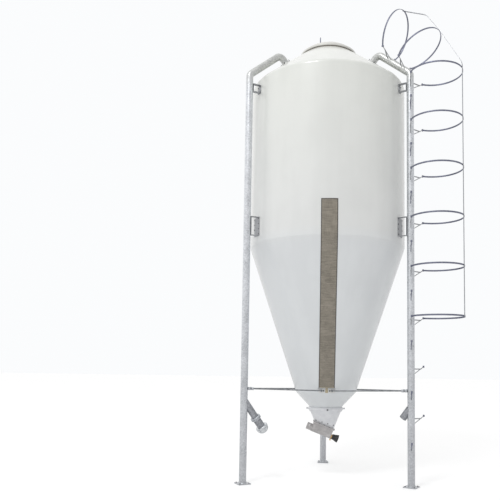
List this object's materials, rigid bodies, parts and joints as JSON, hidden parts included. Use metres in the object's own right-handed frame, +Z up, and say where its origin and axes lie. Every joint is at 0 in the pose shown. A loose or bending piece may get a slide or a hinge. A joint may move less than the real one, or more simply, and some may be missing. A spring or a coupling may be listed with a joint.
{
  "type": "pellet silo",
  "caption": "Tall round silo with a cone outlet on three pipe legs, filled and vented through bent leg pipes, with a caged ladder and an inclined auger boot.",
  "frame": {"origin": "on the ground, at the middle of the whole object's footprint; the silo's own axis stands 0.249 m towards -X and 0.088 m towards -Y of it", "axes": "+Z up; the level strip faces -Y; the ladder leg stands at 330 degrees about the silo's axis, +X 0 degrees"},
  "size_m": [2.7457, 2.3235, 5.979],
  "materials": {
    "shell": "satin off-white painted glass fibre",
    "strip": "bare translucent glass fibre",
    "steel": "hot-dip galvanised",
    "sheet": "bright galvanised sheet",
    "cast": "plain casting",
    "gasket": "dull",
    "brass": "turned",
    "knob": "moulded"
  },
  "bodies": {
    "silo": {"shell_cylinder": "shell", "roof": "shell", "manhole_gasket": "gasket", "hinge_bracket": "steel", "hopper_cone": "shell", "outlet_cone": "shell", "level_strip": "strip", "left_leg": "steel", "right_leg": "steel", "rear_leg": "steel", "left_over_pipe": "steel", "right_over_pipe": "steel", "upper_bracket_left": "steel", "upper_bracket_right": "steel", "upper_bracket_rear": "steel", "lower_bracket_left": "steel", "lower_bracket_right": "steel", "lower_bracket_rear": "steel", "front_left_tie": "steel", "front_right_tie": "steel", "right_front_tie": "steel", "right_rear_tie": "steel", "left_rear_tie": "steel", "left_front_tie": "steel", "outlet_collar": "steel", "outlet_funnel": "sheet", "auger_boot": "steel", "hose_socket": "steel", "end_bearing": "brass", "end_knob": "knob", "fill_coupling": "cast", "fill_cap": "cast", "hoop_1": "steel", "hoop_2": "steel", "hoop_3": "steel", "hoop_4": "steel", "hoop_5": "steel", "hoop_6": "steel", "hoop_over_bend": "steel", "hoop_over_roof": "steel", "cage_bar": "steel"},
    "manhole_lid": {"lid": "shell", "lid_handle": "steel", "hinge_strap": "steel"}
  },
  "joints": [
    {"name": "lid_hinge", "type": "hinge", "parent": "silo", "child": "manhole_lid", "pos_m": [-0.6217, 0.127, 5.6494], "axis": [-0.5, -0.866, 0], "range_deg": [0, 110]}
  ]
}
